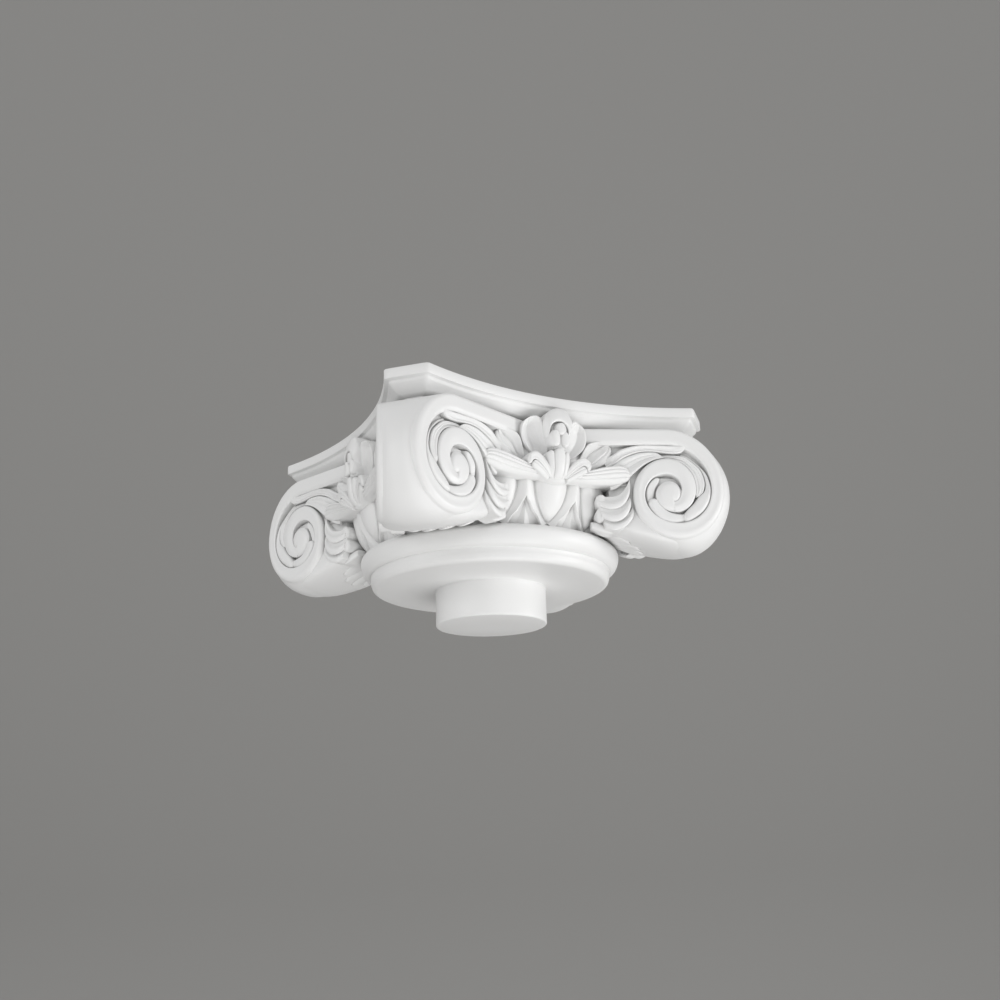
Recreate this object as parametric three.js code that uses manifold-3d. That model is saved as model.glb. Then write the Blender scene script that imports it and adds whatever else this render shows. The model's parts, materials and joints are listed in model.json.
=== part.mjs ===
// Angular Ionic column capital: a moulded abacus with four hollow sides, a horn with two volute faces
// under each corner, a flower on each side, an egg-and-dart ring, a torus, and a spigot below that
// centres the capital on its shaft. It is one casting, so it is one solid.
// Millimetres, +Z up. The origin is the centre of the spigot's flat underside. The four faces look
// along -Y, +X, +Y and -X, and the corners point along the diagonals.
import * as THREE from "three";
import { mergeVertices } from "three/addons/utils/BufferGeometryUtils.js";
import Module from "manifold-3d";

// Heights above the spigot's underside
const SPIGOT_TOP = 36.3;
const NECK_TOP = 50;
const TORUS_TOP = 71;
const ECHINUS_TOP = 115;
const BAND_TOP = 169;
const FASCIA_BOTTOM = 182.4;
const TOP = 192.4;

// How far pieces of the casting run into each other where they join
const OVERLAP = 5;

// Radii of the turned part
const SPIGOT_RADIUS = 55.25;
const SHOULDER_RADIUS = 105;
const NECK_RADIUS = 119.5;
const TORUS_RADIUS = 129.7;
const ECHINUS_FOOT_RADIUS = 118;
const ECHINUS_RADIUS = 133;
const DRUM_RADIUS = 108;
const TURNED_SIDES = 32;
// The rounded foot of the necking, from the shoulder up, as radius and height
const NECK_FOOT = [
  [115.5, 37.3],
  [118.3, 40.5],
  [NECK_RADIUS, 42],
];
const TORUS_BULGE = 7;
const TORUS_STEPS = 3;

// Abacus: the corners are cut at CORNER_REACH from the axis, and each side is an arc
const CORNER_REACH = 220.5;
const CORNER_HALF_WIDTH = 21;
const SIDE_REACH = 141.4;
const SIDE_STEPS = 6;
const SOFFIT_INSET = 4;
const NECK_INSET = 19;
const COVE_INSET = 10.5;
const COVE_HEIGHT = 174;

// Horns: each volute face is a vertical plane FACE_DISTANCE from the axis
const HORN_ANGLE = THREE.MathUtils.degToRad(23.6);
const FACE_DISTANCE = 114.2;
const EYE_ALONG = 165.9;
const EYE_HEIGHT = 103;
const CHANNEL_DEPTH = 8;
const LEAF_DEPTH = 2.5;
const LEAF_GAP = 0.8;
const ARRIS = 4;
const SWELL = 6;
const SWELL_START = 0.2;
const SWELL_END = 2.8;
const CORE_MARGIN = 2;
const CORE_ELBOW = 116;
const CORE_END = 3.2;
const WEB_HALF_WIDTH = 34;

// Radii of the volute's rim at each quarter turn, from the top, outwards over the corner and down
const RIM_OUTER = [66, 50, 44, 38.5, 34.4, 21.7, 18.5, 16.6, 11.5, 7.7];
const RIM_INNER = [51, 37, 29.3, 27.4, 17.9, 7.7];
const WIDE_TURN = 30;
const WIDE_STEP = 0.4;
const TIGHT_STEP = 0.5;
const KNOB_RADIUS = 13;
const KNOB_CENTRE = new THREE.Vector2(EYE_ALONG - 3, EYE_HEIGHT - 2);

// Leaves are five-sided and taper in three levels
const LEAF_SIDES = 5;
const LEAF_LEVELS = 3;

// Egg-and-dart ring
const EGG_PITCH = 22.5;
const EGG_HALF_WIDTH = 17.2;
const EGG_TIP = 74.5;
const EGG_PROUD = 6.5;
const SHELL_WIDTH = 6.5;
const SHELL_PROUD = 3.2;
const SHELL_GAP = 1.2;
const DART_TIP = 94;
const DART_HALF_WIDTH = 5.5;
// How deep the roots of the eggs and shells reach into the echinus
const ROOT = -11;

const FACE_START = -FACE_DISTANCE * Math.tan(HORN_ANGLE);

const QUARTER = Math.PI / 2;
const UP = new THREE.Vector3(0, 0, 1);
const WHITE = new THREE.MeshStandardMaterial({ color: 0xecebea, roughness: 0.45, metalness: 0 });
const wasm = await Module();
wasm.setup();

// Solids

/** Makes a closed geometry into a solid that joins and cuts. Flat triangles at a pole are dropped. */
function solid(geometry) {
  const bare = geometry.clone();
  bare.deleteAttribute("normal");
  bare.deleteAttribute("uv");
  const merged = mergeVertices(bare, 1e-3);
  const corners = merged.index.array;
  const kept = [];
  for (let i = 0; i < corners.length; i += 3) {
    const [a, b, c] = corners.subarray(i, i + 3);
    if (a !== b && b !== c && c !== a) kept.push(a, b, c);
  }
  return new wasm.Manifold(
    new wasm.Mesh({
      numProp: 3,
      vertProperties: merged.attributes.position.array,
      triVerts: new Uint32Array(kept),
    }),
  );
}

/** Joins solids into one. */
function union(solids) {
  return solids.reduce((whole, next) => whole.add(next));
}

/** Turns a solid back into a geometry with flat shading. */
function geometryOf(made) {
  const mesh = made.getMesh();
  const geometry = new THREE.BufferGeometry();
  geometry.setAttribute("position", new THREE.BufferAttribute(mesh.vertProperties, mesh.numProp));
  geometry.setIndex(new THREE.BufferAttribute(mesh.triVerts, 1));
  geometry.computeVertexNormals();
  return geometry;
}

/** Closes a stack of rings, lists of Vector3, whose ends are filled as the flat outline is. */
function loft(rings, flat) {
  const count = flat.length;
  const caps = THREE.ShapeUtils.triangulateShape(flat, []);
  const last = (rings.length - 1) * count;
  const index = [];
  for (let level = 0; level < last; level += count) {
    for (let i = 0; i < count; i++) {
      const next = (i + 1) % count;
      index.push(level + i, level + next, level + count + next);
      index.push(level + i, level + count + next, level + count + i);
    }
  }
  for (const [a, b, c] of caps) {
    index.push(c, b, a);
    index.push(last + a, last + b, last + c);
  }
  const geometry = new THREE.BufferGeometry().setFromPoints(rings.flat());
  geometry.setIndex(index);
  return geometry;
}

/** Revolves a profile of [radius, height] pairs about +Z. */
function turned(profile, sides) {
  const points = profile.map(([radius, height]) => new THREE.Vector2(radius, height));
  return new THREE.LatheGeometry(points, sides).rotateX(QUARTER);
}

/** Copies a solid onto each face of the capital by quarter turns. */
function onEachSide(made) {
  return [0, 90, 180, 270].map((turn) => made.rotate([0, 0, turn]));
}

/** Joins a solid that stands to the right of a face's middle to its mirror image on the left. */
function withMirror(made) {
  return made.add(made.mirror([1, 0, 0]));
}

// Turned core

/** Points along an arc of the half circle that bulges outwards between two heights. */
function bead(radius, low, high, bulge, steps) {
  const points = [];
  for (let i = 0; i <= steps; i++) {
    const angle = (i / steps - 0.5) * Math.PI;
    const height = (low + high) / 2 + (Math.sin(angle) * (high - low)) / 2;
    points.push([radius + bulge * Math.cos(angle), height]);
  }
  return points;
}

/** The radius of the egg band at a height: a quarter-round that swells upwards. */
function echinusRadius(height) {
  const rise = THREE.MathUtils.clamp((height - TORUS_TOP) / (ECHINUS_TOP - TORUS_TOP), 0, 1);
  return THREE.MathUtils.lerp(ECHINUS_FOOT_RADIUS, ECHINUS_RADIUS, Math.sin(rise * QUARTER));
}

function turnedCore() {
  const echinus = [TORUS_TOP, ECHINUS_TOP].map((height) => {
    return [echinusRadius(height) - EGG_PROUD / 2, height];
  });
  const profile = [
    [0, 0],
    [SPIGOT_RADIUS, 0],
    [SPIGOT_RADIUS, SPIGOT_TOP],
    [SHOULDER_RADIUS, SPIGOT_TOP],
    ...NECK_FOOT,
    [NECK_RADIUS, NECK_TOP],
    ...bead(TORUS_RADIUS - TORUS_BULGE, NECK_TOP, TORUS_TOP + OVERLAP, TORUS_BULGE, TORUS_STEPS),
    ...echinus,
    [DRUM_RADIUS, ECHINUS_TOP],
    [DRUM_RADIUS, BAND_TOP],
    [0, BAND_TOP],
  ];
  return solid(turned(profile, TURNED_SIDES));
}

// Abacus

/** One level of the abacus: its outline moved in by an inset, at a height. */
function abacusRing(inset, height) {
  const halfChord = (CORNER_REACH - CORNER_HALF_WIDTH) / Math.SQRT2;
  const rise = (CORNER_REACH + CORNER_HALF_WIDTH) / Math.SQRT2 - SIDE_REACH;
  const arcRadius = (halfChord ** 2 + rise ** 2) / (2 * rise);
  const centre = SIDE_REACH + arcRadius;
  const radius = arcRadius + inset;
  // Where the arc meets the cut corner: out + along = reach * sqrt(2)
  const reach = (CORNER_REACH - inset) * Math.SQRT2;
  const offset = reach - centre;
  const along = (offset + Math.sqrt(2 * radius ** 2 - offset ** 2)) / 2;
  const end = Math.asin(along / radius);
  const ring = [];
  for (let side = 0; side < 4; side++) {
    for (let i = 0; i <= SIDE_STEPS; i++) {
      const angle = THREE.MathUtils.lerp(-end, end, i / SIDE_STEPS);
      const x = radius * Math.sin(angle);
      const y = radius * Math.cos(angle) - centre;
      ring.push(new THREE.Vector3(x, y, height).applyAxisAngle(UP, side * QUARTER));
    }
  }
  return ring;
}

function abacus() {
  const levels = [
    [NECK_INSET, BAND_TOP - OVERLAP],
    [COVE_INSET, COVE_HEIGHT],
    [SOFFIT_INSET, FASCIA_BOTTOM - 1],
    [0, FASCIA_BOTTOM],
    [0, TOP],
  ];
  const rings = levels.map(([inset, height]) => abacusRing(inset, height));
  return solid(loft(rings, rings[0].map((p) => new THREE.Vector2(p.x, p.y))));
}

// Horns and volutes

/** Reads a list of radii, one for each quarter turn, at any turn, with a smooth curve between. */
function rimRadius(radii, quarters) {
  const at = (i) => Math.log(radii[THREE.MathUtils.clamp(i, 0, radii.length - 1)]);
  const i = Math.min(Math.floor(quarters), radii.length - 2);
  const t = quarters - i;
  const [a, b, c, d] = [at(i - 1), at(i), at(i + 1), at(i + 2)];
  const bend = (2 * a - 5 * b + 4 * c - d) * t * t + (3 * b - 3 * c + d - a) * t ** 3;
  return Math.exp(b + 0.5 * ((c - a) * t + bend));
}

/** A point of the volute face: along it from the foot of the axis, and up. */
function volutePoint(radius, quarters) {
  const angle = QUARTER * (1 - quarters);
  return new THREE.Vector2(EYE_ALONG + radius * Math.cos(angle), EYE_HEIGHT + radius * Math.sin(angle));
}

/** How much of the swell the outside of the horn has at a turn: none under the abacus or inside. */
function bulge(quarters) {
  const share = THREE.MathUtils.clamp((quarters - SWELL_START) / (SWELL_END - SWELL_START), 0, 1);
  return Math.sin(share * Math.PI);
}

/** Points of a rim curve between two turns, with fewer to a turn where it winds in tightly. */
function rimCurve(radii, from, to, swell = 0) {
  const [start, end] = [Math.min(from, to), Math.max(from, to)];
  const points = [];
  for (let quarters = start; quarters < end - 0.1; ) {
    const radius = rimRadius(radii, quarters);
    points.push(volutePoint(radius + swell * bulge(quarters), quarters));
    quarters += radius > WIDE_TURN ? WIDE_STEP : TIGHT_STEP;
  }
  points.push(volutePoint(rimRadius(radii, end), end));
  return from < to ? points : points.reverse();
}

/** Sets an outline of the volute face into the horn at the first corner, as a point in space. */
function inHorn(point, side, depth) {
  const out = point.x * Math.cos(HORN_ANGLE) + FACE_DISTANCE * Math.sin(HORN_ANGLE);
  const halfWidth = (FACE_DISTANCE - depth - out * Math.sin(HORN_ANGLE)) / Math.cos(HORN_ANGLE);
  return new THREE.Vector3(out, side * halfWidth, point.y);
}

/** A slab that fills a horn from face to face within an outline of the volute face. */
function slab(outline, depth) {
  const rings = [1, -1].map((side) => outline.map((p) => inHorn(p, side, depth)));
  return solid(loft(rings, outline)).rotate([0, 0, -45]);
}

/** The horn's mass, with its faces sunk to the floor of the channel. */
function hornCore() {
  const inside = RIM_OUTER.map((radius) => radius - CORE_MARGIN);
  const outline = [
    new THREE.Vector2(FACE_START, ECHINUS_TOP + 1),
    new THREE.Vector2(CORE_ELBOW, ECHINUS_TOP + 1),
    ...rimCurve(inside, CORE_END, 0),
    new THREE.Vector2(FACE_START, BAND_TOP - CORE_MARGIN),
  ];
  return slab(outline, CHANNEL_DEPTH);
}

/** The rim's outline on a volute face, with the outside of its first turn swollen. */
function rimOutline(swell) {
  return [
    new THREE.Vector2(FACE_START, EYE_HEIGHT + RIM_INNER[0]),
    ...rimCurve(RIM_INNER, 0, RIM_INNER.length - 1),
    ...rimCurve(RIM_OUTER, RIM_OUTER.length - 1, 0, swell).slice(1),
    new THREE.Vector2(FACE_START, BAND_TOP),
  ];
}

/**
 * The rim: the band under the abacus, which rolls over the corner and winds in to the knob. Between
 * the two faces it swells a little, with a chamfer along each.
 */
function rim() {
  const [edge, swollen] = [rimOutline(0), rimOutline(SWELL)];
  const levels = [
    [edge, 1, 0],
    [swollen, 1, ARRIS],
    [swollen, -1, ARRIS],
    [edge, -1, 0],
  ];
  const rings = levels.map(([outline, side, depth]) => outline.map((p) => inHorn(p, side, depth)));
  return solid(loft(rings, edge)).rotate([0, 0, -45]);
}

function knob() {
  const sides = 8;
  const outline = Array.from({ length: sides }, (_, i) => {
    const angle = (i / sides) * 2 * Math.PI;
    const spoke = new THREE.Vector2(Math.cos(angle), Math.sin(angle)).multiplyScalar(KNOB_RADIUS);
    return spoke.add(KNOB_CENTRE);
  });
  return slab(outline, 1);
}

/** A leaf that lies in the channel between two turns and thins to a point at each end. */
function channelLeaf(from, to) {
  const steps = 2;
  const inner = [];
  const outer = [];
  for (let i = 0; i <= steps; i++) {
    const quarters = THREE.MathUtils.lerp(from, to, i / steps);
    const high = rimRadius(RIM_INNER, quarters) - LEAF_GAP;
    const low = rimRadius(RIM_OUTER, quarters + 4) + LEAF_GAP;
    const half = ((high - low) / 2) * Math.sin(((i + 0.35) / (steps + 0.7)) * Math.PI) ** 0.4;
    outer.push(volutePoint((high + low) / 2 + half, quarters));
    inner.unshift(volutePoint((high + low) / 2 - half, quarters));
  }
  return slab([...outer.reverse(), ...inner.reverse()], LEAF_DEPTH);
}

/** The stem under the horn that ties it to the echinus. */
function web() {
  const outline = [
    [85, ECHINUS_TOP + 6],
    [85, TORUS_TOP + 8],
    [118, TORUS_TOP + 6],
    [150, EYE_HEIGHT - 30],
    [175, EYE_HEIGHT],
    [175, ECHINUS_TOP + 6],
  ].map(([out, height]) => new THREE.Vector2(out, height));
  const rings = [WEB_HALF_WIDTH, -WEB_HALF_WIDTH].map((side) =>
    outline.map((p) => new THREE.Vector3(p.x, side, p.y)),
  );
  return solid(loft(rings, outline)).rotate([0, 0, -45]);
}

function horn() {
  const leaves = [
    [0.1, 1.05],
    [1.1, 1.95],
    [1.95, 2.8],
  ].map(([from, to]) => channelLeaf(from, to));
  return union([hornCore(), rim(), knob(), web(), ...leaves]);
}

// Leaves and flowers

/**
 * A fleshy leaf on the first face: a flattened ball, drawn out to a length, bent forwards at its
 * tip, leaned round the face's normal and turned about the vertical.
 */
function leaf({ at, length, width, thickness, lean = 0, bend = 0, turn = 0 }) {
  const geometry = new THREE.SphereGeometry(0.5, LEAF_SIDES, LEAF_LEVELS).rotateX(QUARTER);
  geometry.scale(width, thickness, length);
  const position = geometry.attributes.position;
  for (let i = 0; i < position.count; i++) {
    const rise = position.getZ(i) / length + 0.5;
    position.setY(i, position.getY(i) - bend * rise * rise);
  }
  geometry.rotateY(THREE.MathUtils.degToRad(lean));
  geometry.rotateZ(-THREE.MathUtils.degToRad(turn));
  return solid(geometry.translate(...at));
}

function flower() {
  const petals = [
    leaf({ at: [0, -132, 165], length: 31, width: 34, thickness: 26, bend: 9 }),
    leaf({ at: [0, -133, 148], length: 26, width: 26, thickness: 32 }),
    leaf({ at: [0, -133, 126], length: 30, width: 27, thickness: 32 }),
  ];
  const pairs = [
    leaf({ at: [26, -131, 147], length: 42, width: 29, thickness: 26, lean: 28, bend: 9 }),
    leaf({ at: [47, -133, 138], length: 36, width: 27, thickness: 26, lean: 52, bend: 9 }),
    leaf({ at: [43, -138, 120], length: 66, width: 17, thickness: 30, lean: 86, bend: 4 }),
    leaf({ at: [90, -143, 138], length: 66, width: 14, thickness: 26, lean: 72, turn: 20 }),
  ];
  return union([...petals, ...pairs.map(withMirror)]);
}

/** Lobes of the leaf that fills the corner between the eggs and the volute. */
function cornerLeaf() {
  const lobes = [0, 1, 2].map((i) =>
    leaf({
      at: [66 - 2 * i, -131 + 3 * i, 104 - 13 * i],
      length: 34,
      width: 14,
      thickness: 30,
      lean: 62 - 4 * i,
    }),
  );
  return withMirror(union(lobes));
}

// Egg-and-dart

/** A point on the echinus at a distance round it from the middle of the first face. */
function onEchinus(along, height, proud) {
  const radius = echinusRadius(height) + proud - EGG_PROUD / 2;
  const angle = along / ECHINUS_RADIUS;
  return new THREE.Vector3(radius * Math.sin(angle), -radius * Math.cos(angle), height);
}

/** Half the egg's width at a height. */
function eggHalfWidth(height) {
  const fall = THREE.MathUtils.clamp((ECHINUS_TOP - height) / (ECHINUS_TOP - EGG_TIP), 0, 1);
  return EGG_HALF_WIDTH * (1 - fall ** 2.4) ** 0.8;
}

/** The egg: rings across its face from the tip up to its flat top. */
function egg() {
  const across = 3;
  const heights = [0, 0.16, 0.5, 1].map((t) =>
    THREE.MathUtils.lerp(EGG_TIP + 0.2, ECHINUS_TOP, t),
  );
  const rings = heights.map((height) => {
    const half = Math.max(eggHalfWidth(height), 0.6);
    const ring = [];
    for (let i = 0; i <= across; i++) {
      const t = (i / across) * 2 - 1;
      ring.push(onEchinus(t * half, height, EGG_PROUD * Math.sqrt(1 - t * t) * (half / EGG_HALF_WIDTH)));
    }
    ring.push(onEchinus(half, height, ROOT), onEchinus(-half, height, ROOT));
    return ring;
  });
  return solid(loft(rings, rings.at(-1).map((p) => new THREE.Vector2(p.x, p.y))));
}

/** One side of the shell round an egg, from the top down to the point below the tip. */
function shellSide() {
  const steps = 2;
  const rings = Array.from({ length: steps + 1 }, (_, i) => {
    const height = THREE.MathUtils.lerp(TORUS_TOP, ECHINUS_TOP, (i / steps) ** 1.3);
    const near = eggHalfWidth(height) + (height < EGG_TIP ? 0 : SHELL_GAP);
    const far = near + SHELL_WIDTH;
    return [
      onEchinus(near, height, SHELL_PROUD),
      onEchinus(far, height, SHELL_PROUD),
      onEchinus(far, height, ROOT),
      onEchinus(near, height, ROOT),
    ];
  });
  return solid(loft(rings, rings[0].map((p) => new THREE.Vector2(p.x, p.y))));
}

/** The dart: a ridge between two shells that widens downwards. */
function dart() {
  const middle = (THREE.MathUtils.degToRad(EGG_PITCH) * ECHINUS_RADIUS) / 2;
  const levels = [
    [TORUS_TOP + 0.5, DART_HALF_WIDTH],
    [DART_TIP, 0.8],
  ];
  const rings = levels.map(([height, half]) => {
    return [
      onEchinus(middle - half, height, 0),
      onEchinus(middle, height, SHELL_PROUD),
      onEchinus(middle + half, height, 0),
      onEchinus(middle, height, ROOT),
    ];
  });
  return solid(loft(rings, rings[0].map((p) => new THREE.Vector2(p.x, p.y))));
}

/** The three eggs of one side, with the darts between them. The horns hide the places between. */
function eggsOfASide() {
  const one = egg().add(withMirror(shellSide()));
  const eggs = [-1, 0, 1].map((i) => one.rotate([0, 0, i * EGG_PITCH]));
  return union([...eggs, withMirror(dart())]);
}

// The casting

const capital = new THREE.Mesh(
  geometryOf(
    union([
      turnedCore(),
      ...onEachSide(union([eggsOfASide(), horn(), flower(), cornerLeaf()])),
      abacus(),
    ]),
  ),
  WHITE,
);
capital.name = "capital";

const part = new THREE.Group();
part.add(capital);
export default part;
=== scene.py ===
"""Looks of an angular Ionic column capital, one moulded casting in white primed polyurethane.

Sizes are in millimetres in the capital's own frame: +Z up, origin in the centre of the spigot's
underside, and the four hollow faces looking along -Y, +X, +Y and -X. Everything is carved once for
the first face or the first corner and then turned round the axis.
"""

import json
import logging
import math
from collections.abc import Iterable, Sequence
from dataclasses import dataclass
from enum import Enum
from functools import partial

import bmesh
import bpy
import numpy as np
from mathutils import Matrix, Vector

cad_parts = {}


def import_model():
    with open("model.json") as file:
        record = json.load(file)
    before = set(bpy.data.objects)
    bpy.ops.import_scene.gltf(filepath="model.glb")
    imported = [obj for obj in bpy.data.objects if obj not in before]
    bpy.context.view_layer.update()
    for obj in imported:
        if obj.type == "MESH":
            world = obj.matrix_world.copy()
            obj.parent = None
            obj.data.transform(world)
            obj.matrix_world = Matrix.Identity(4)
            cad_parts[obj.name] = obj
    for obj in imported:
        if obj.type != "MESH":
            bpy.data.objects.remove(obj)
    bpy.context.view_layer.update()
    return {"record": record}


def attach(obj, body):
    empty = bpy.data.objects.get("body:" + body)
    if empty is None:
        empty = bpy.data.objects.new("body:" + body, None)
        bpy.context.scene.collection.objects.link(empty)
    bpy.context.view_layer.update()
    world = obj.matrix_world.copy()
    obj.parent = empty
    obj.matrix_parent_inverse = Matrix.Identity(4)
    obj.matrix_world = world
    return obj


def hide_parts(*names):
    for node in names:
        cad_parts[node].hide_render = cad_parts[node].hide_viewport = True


logging.basicConfig(level=logging.INFO, format="%(message)s")
log = logging.getLogger("capital")

MM = 0.001
NODE = "capital"
BODY = "root"
CREASE_ANGLE = math.radians(38.0)
WELD = 0.001 * MM
SLIVER = 0.0001 * MM

Point = tuple[float, float, float]
Pair = tuple[float, float]
Face = tuple[int, ...]


def ease(low: float, high: float, x: float) -> float:
    """Rises smoothly from 0 at low to 1 at high."""
    t = min(max((x - low) / (high - low), 0.0), 1.0)
    return t * t * (3.0 - 2.0 * t)


def spline(values: Sequence[Sequence[float]], count: int) -> np.ndarray:
    """Draws a Catmull-Rom curve through values.

    Args:
        values: The points it passes through, of any dimension.
        count: How many points to return, evenly along the parameter.

    Returns:
        An array of count points.
    """
    knots = np.asarray(values, float)
    padded = np.vstack([2 * knots[0] - knots[1], knots, 2 * knots[-1] - knots[-2]])
    at = np.linspace(0.0, len(knots) - 1.0, count)
    i = np.minimum(at.astype(int), len(knots) - 2)
    t = (at - i)[:, None]
    a, b, c, d = (padded[i + k] for k in range(4))
    bend = (2 * a - 5 * b + 4 * c - d) * t**2 + (3 * b - 3 * c + d - a) * t**3
    return b + 0.5 * ((c - a) * t + bend)


def arc(centre: Pair, wide: float, high: float, start: float, end: float, count: int) -> list[Pair]:
    """Points of an elliptical arc.

    Args:
        centre: Its middle.
        wide: Its half width.
        high: Its half height.
        start: The angle of the first point in degrees.
        end: The angle of the last point in degrees.
        count: How many points.

    Returns:
        The points as pairs.
    """
    angles = np.radians(np.linspace(start, end, count))
    return [(centre[0] + wide * math.cos(a), centre[1] + high * math.sin(a)) for a in angles]


def at_corner(out: float, across: float, up: float) -> Point:
    """A point at the first corner, from its reach along the diagonal and its place across it."""
    half = math.sqrt(0.5)
    return ((out + across) * half, (across - out) * half, up)


class Carving:
    """Collects closed surfaces, in millimetres, and makes one mesh piece of them."""

    def __init__(self, name: str) -> None:
        """Starts an empty carving of a given name."""
        self.name = name
        self.shells: list[tuple[np.ndarray, list[Face]]] = []

    def add(self, points: np.ndarray, faces: list[Face]) -> None:
        """Adds one closed surface from its points and faces."""
        self.shells.append((np.asarray(points, float).reshape(-1, 3), faces))

    def add_tube(self, rings: np.ndarray) -> None:
        """Adds a closed surface from a stack of closed rings.

        Args:
            rings: Points as an array of ring, place round the ring and coordinate. Each end is
                closed by a fan to the middle of its ring.
        """
        count, around, _ = rings.shape
        points = np.vstack([rings.reshape(-1, 3), rings[0].mean(0), rings[-1].mean(0)])
        faces: list[Face] = []
        for i in range(count - 1):
            for j in range(around):
                k = (j + 1) % around
                near, far = i * around, (i + 1) * around
                faces.append((near + j, near + k, far + k, far + j))
        first, last = count * around, count * around + 1
        for j in range(around):
            k = (j + 1) % around
            faces.append((first, k, j))
            faces.append((last, first - around + j, first - around + k))
        self.add(points, faces)

    def add_lathe(self, outline: Sequence[Pair], sides: int) -> None:
        """Adds a turned solid.

        Args:
            outline: Radius and height pairs, from the rim of the flat underside to that of the top.
            sides: How many facets round the axis.
        """
        angles = np.linspace(0.0, 2 * math.pi, sides, endpoint=False)
        rings = [[(r * math.cos(a), r * math.sin(a), z) for a in angles] for r, z in outline]
        self.add_tube(np.array(rings))

    def mirror(self) -> None:
        """Adds the mirror image, left for right on the first face, of all that is there."""
        flip = np.array([-1.0, 1.0, 1.0])
        self.shells += [(points * flip, faces) for points, faces in self.shells]

    def build(self, quarter: int | None = None) -> bpy.types.Object:
        """Makes the mesh piece.

        Args:
            quarter: How many quarter turns it is moved by, where it repeats round the axis.

        Returns:
            The new object, with welded points, faces that look outwards and soft shading that
            breaks at creases.
        """
        name = self.name if quarter is None else f"{self.name}_{quarter + 1}"
        spin = Matrix.Rotation((quarter or 0) * math.pi / 2, 4, "Z") @ Matrix.Scale(MM, 4)
        bm = bmesh.new()
        for points, faces in self.shells:
            made = [bm.verts.new(spin @ Vector(p)) for p in points]
            for face in faces:
                bm.faces.new([made[i] for i in face]).smooth = True
        bmesh.ops.remove_doubles(bm, verts=bm.verts, dist=WELD)
        bmesh.ops.dissolve_degenerate(bm, edges=bm.edges, dist=SLIVER)
        bmesh.ops.recalc_face_normals(bm, faces=bm.faces)
        mesh = bpy.data.meshes.new(name)
        bm.to_mesh(mesh)
        bm.free()
        mesh.set_sharp_from_angle(angle=CREASE_ANGLE)
        piece = bpy.data.objects.new(name, mesh)
        bpy.context.scene.collection.objects.link(piece)
        return piece

    def build_four(self) -> list[bpy.types.Object]:
        """Makes the piece for each of the four faces or corners."""
        return [self.build(quarter) for quarter in range(4)]


class Plane(Enum):
    """The surface that a leaf's edges are given on."""

    FACE = "across the first face: along, up and out from the axis"
    VOLUTE = "on the right volute face: along, up and out from that face"
    BAND = "round the egg band: along, up and out from its surface"
    WEB = "under the first horn: across it, out from the axis and down from the web"


@dataclass(frozen=True)
class Datum:
    """Heights and reaches that every sub-assembly shares, in millimetres.

    Attributes:
        shoulder: Where the shaft's rim meets the necking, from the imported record's mounts.
        top: The top of the abacus, from the same.
        neck_top: The fillet over the necking.
        torus_top: The top of the torus, where the egg band begins.
        echinus_top: Where the eggs are cut off.
        band_top: The top of the plain band that runs into the volutes, under the abacus.
        fascia_bottom: The underside of the abacus's upright edge.
        echinus_foot_radius: The egg band's ground at its foot.
        echinus_radius: The same at its top.
        horn_angle: How far a volute face turns away from the diagonal.
        face_distance: How far the volute faces lie from the axis.
        web_line: Reach, height of the middle and half width of the web under a horn.
        web_round: How much higher the web's edges are than its middle.
        web_fullness: How square its section is: 2 is round.
    """

    shoulder: float
    top: float
    neck_top: float = 50.0
    torus_top: float = 71.0
    echinus_top: float = 115.0
    band_top: float = 168.2
    fascia_bottom: float = 182.4
    echinus_foot_radius: float = 117.5
    echinus_radius: float = 131.0
    horn_angle: float = math.radians(23.6)
    face_distance: float = 114.2
    web_line: tuple[tuple[float, float, float], ...] = (
        (108, 77, 34), (118, 73, 39), (128, 70, 45), (138, 66.4, 49.5), (148, 62.6, 50.5),
        (158, 59.2, 49), (170, 55.6, 45), (177, 53.8, 42.5), (184, 52.4, 39.5),
        (190, 51.9, 37), (196, 52.0, 34), (202, 53.5, 31),
    )
    web_round: float = 12.0
    web_fullness: float = 2.4

    @classmethod
    def from_record(cls, record: dict) -> "Datum":
        """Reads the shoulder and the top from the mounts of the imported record."""
        heights = {m["name"]: m["pos_m"][2] / MM for m in record["mounts"]}
        return cls(shoulder=heights["shaft_shoulder"], top=heights["abacus_top"])

    def echinus(self, height: float) -> float:
        """The radius of the egg band's ground at a height."""
        rise = min(max((height - self.torus_top) / (self.echinus_top - self.torus_top), 0.0), 1.0)
        swell = math.sin(rise * math.pi / 2)
        return self.echinus_foot_radius + (self.echinus_radius - self.echinus_foot_radius) * swell

    def web(self, reach: float, lateral: float) -> float:
        """The height of the web's underside, at a reach from the axis and off its middle."""
        xs, heights, halves = zip(*self.web_line)
        low, half = np.interp(reach, xs, heights), np.interp(reach, xs, halves)
        full = min(abs(lateral) / half, 1.0)
        power = self.web_fullness
        return float(low + self.web_round * (1.0 - (1.0 - full**power) ** (1.0 / power)))

    def place(self, plane: Plane, along: float, up: float, out: float) -> Point:
        """Turns a place on one of the planes into a point in space on the first face."""
        if plane is Plane.WEB:
            height = self.web(up, along) - out
            return at_corner(up, -along, height)
        if plane is Plane.FACE:
            return (along, -out, up)
        if plane is Plane.VOLUTE:
            lean = math.radians(45.0) - self.horn_angle
            reach = self.face_distance + out
            deep = reach * math.cos(lean) + along * math.sin(lean)
            side = along * math.cos(lean) - reach * math.sin(lean)
            return (side, -deep, up)
        radius = self.echinus(up) + out
        angle = along / self.echinus_radius
        return (radius * math.sin(angle), -radius * math.cos(angle), up)


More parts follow.
